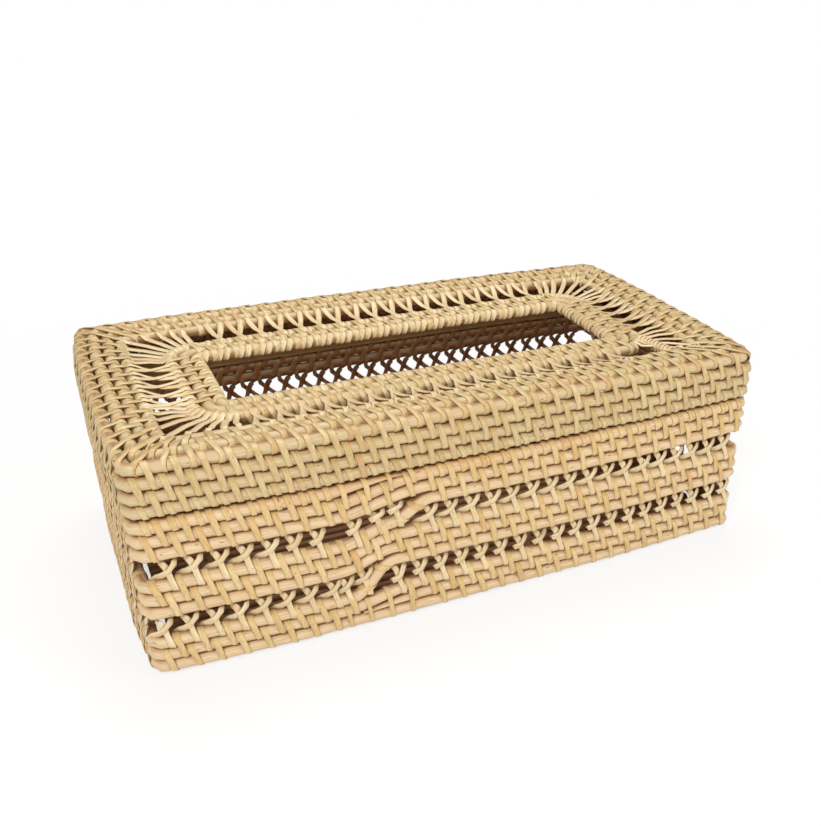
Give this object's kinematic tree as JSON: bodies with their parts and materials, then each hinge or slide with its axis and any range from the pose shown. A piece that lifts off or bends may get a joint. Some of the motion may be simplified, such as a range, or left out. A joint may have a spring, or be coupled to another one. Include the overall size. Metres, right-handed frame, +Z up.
{
  "type": "tissue box cover",
  "caption": "Rectangular coiled rattan tissue box cover with lashed canes, open lace rows and a lift-off lid with a long slot.",
  "frame": {"origin": "centre of the middle batten's underside, on the plane that the box stands on", "axes": "+X along the box's length, towards its right end seen from the front, +Y from the front to the back, +Z up"},
  "size_m": [0.261, 0.143, 0.0866],
  "materials": {
    "base_cane": "clear-lacquered round core cane, warm straw",
    "lid_cane": "clear-lacquered round core cane, cool straw",
    "base_strip": "glossy flat peel strip, honey",
    "lid_strip": "glossy flat peel strip, pale honey",
    "pale_strand": "pale flat peel strand, glossy",
    "inside_band": "smooth thin bent wood, brown",
    "batten_wood": "planed softwood, bare"
  },
  "bodies": {
    "base": {"base_foot_cane": "base_cane", "base_turn_1": "base_cane", "base_turn_2": "base_cane", "base_turn_3": "base_cane", "base_turn_4": "base_cane", "base_turn_5": "base_cane", "base_turn_6": "base_cane", "base_turn_7": "base_cane", "base_turn_8": "base_cane", "base_lashing_1": "base_strip", "base_lashing_2": "base_strip", "base_lashing_3": "base_strip", "base_lashing_4": "base_strip", "base_lashing_5": "base_strip", "base_lashing_6": "base_strip", "base_rim_wraps": "base_strip", "base_lower_strands": "pale_strand", "base_upper_strands": "pale_strand", "base_collar": "inside_band", "floor_canes": "base_cane", "floor_lashings": "base_strip", "floor_battens": "batten_wood"},
    "lid": {"lid_skirt_cane_1": "lid_cane", "lid_skirt_cane_2": "lid_cane", "lid_skirt_cane_3": "lid_cane", "lid_edge_cane": "lid_cane", "lid_top_cane_1": "lid_cane", "lid_top_cane_2": "lid_cane", "lid_top_cane_3": "lid_cane", "lid_slot_cane_1": "lid_cane", "lid_slot_cane_2": "lid_cane", "lid_slot_cane_3": "lid_cane", "lid_step_cane": "lid_cane", "lid_step_wraps": "lid_strip", "lid_lashing_1": "lid_strip", "lid_lashing_2": "lid_strip", "lid_lashing_3": "lid_strip", "lid_lashing_4": "lid_strip", "lid_lashing_5": "lid_strip", "lid_lashing_6": "lid_strip", "lid_lashing_7": "lid_strip", "lid_lashing_8": "lid_strip", "lid_slot_wraps": "lid_strip", "lid_strands": "pale_strand", "lid_corner_strands": "pale_strand"}
  },
  "joints": [
    {"name": "lid_lift", "type": "slide", "parent": "base", "child": "lid", "axis": [0, 0, 1], "range_m": [0, 0.1]}
  ]
}
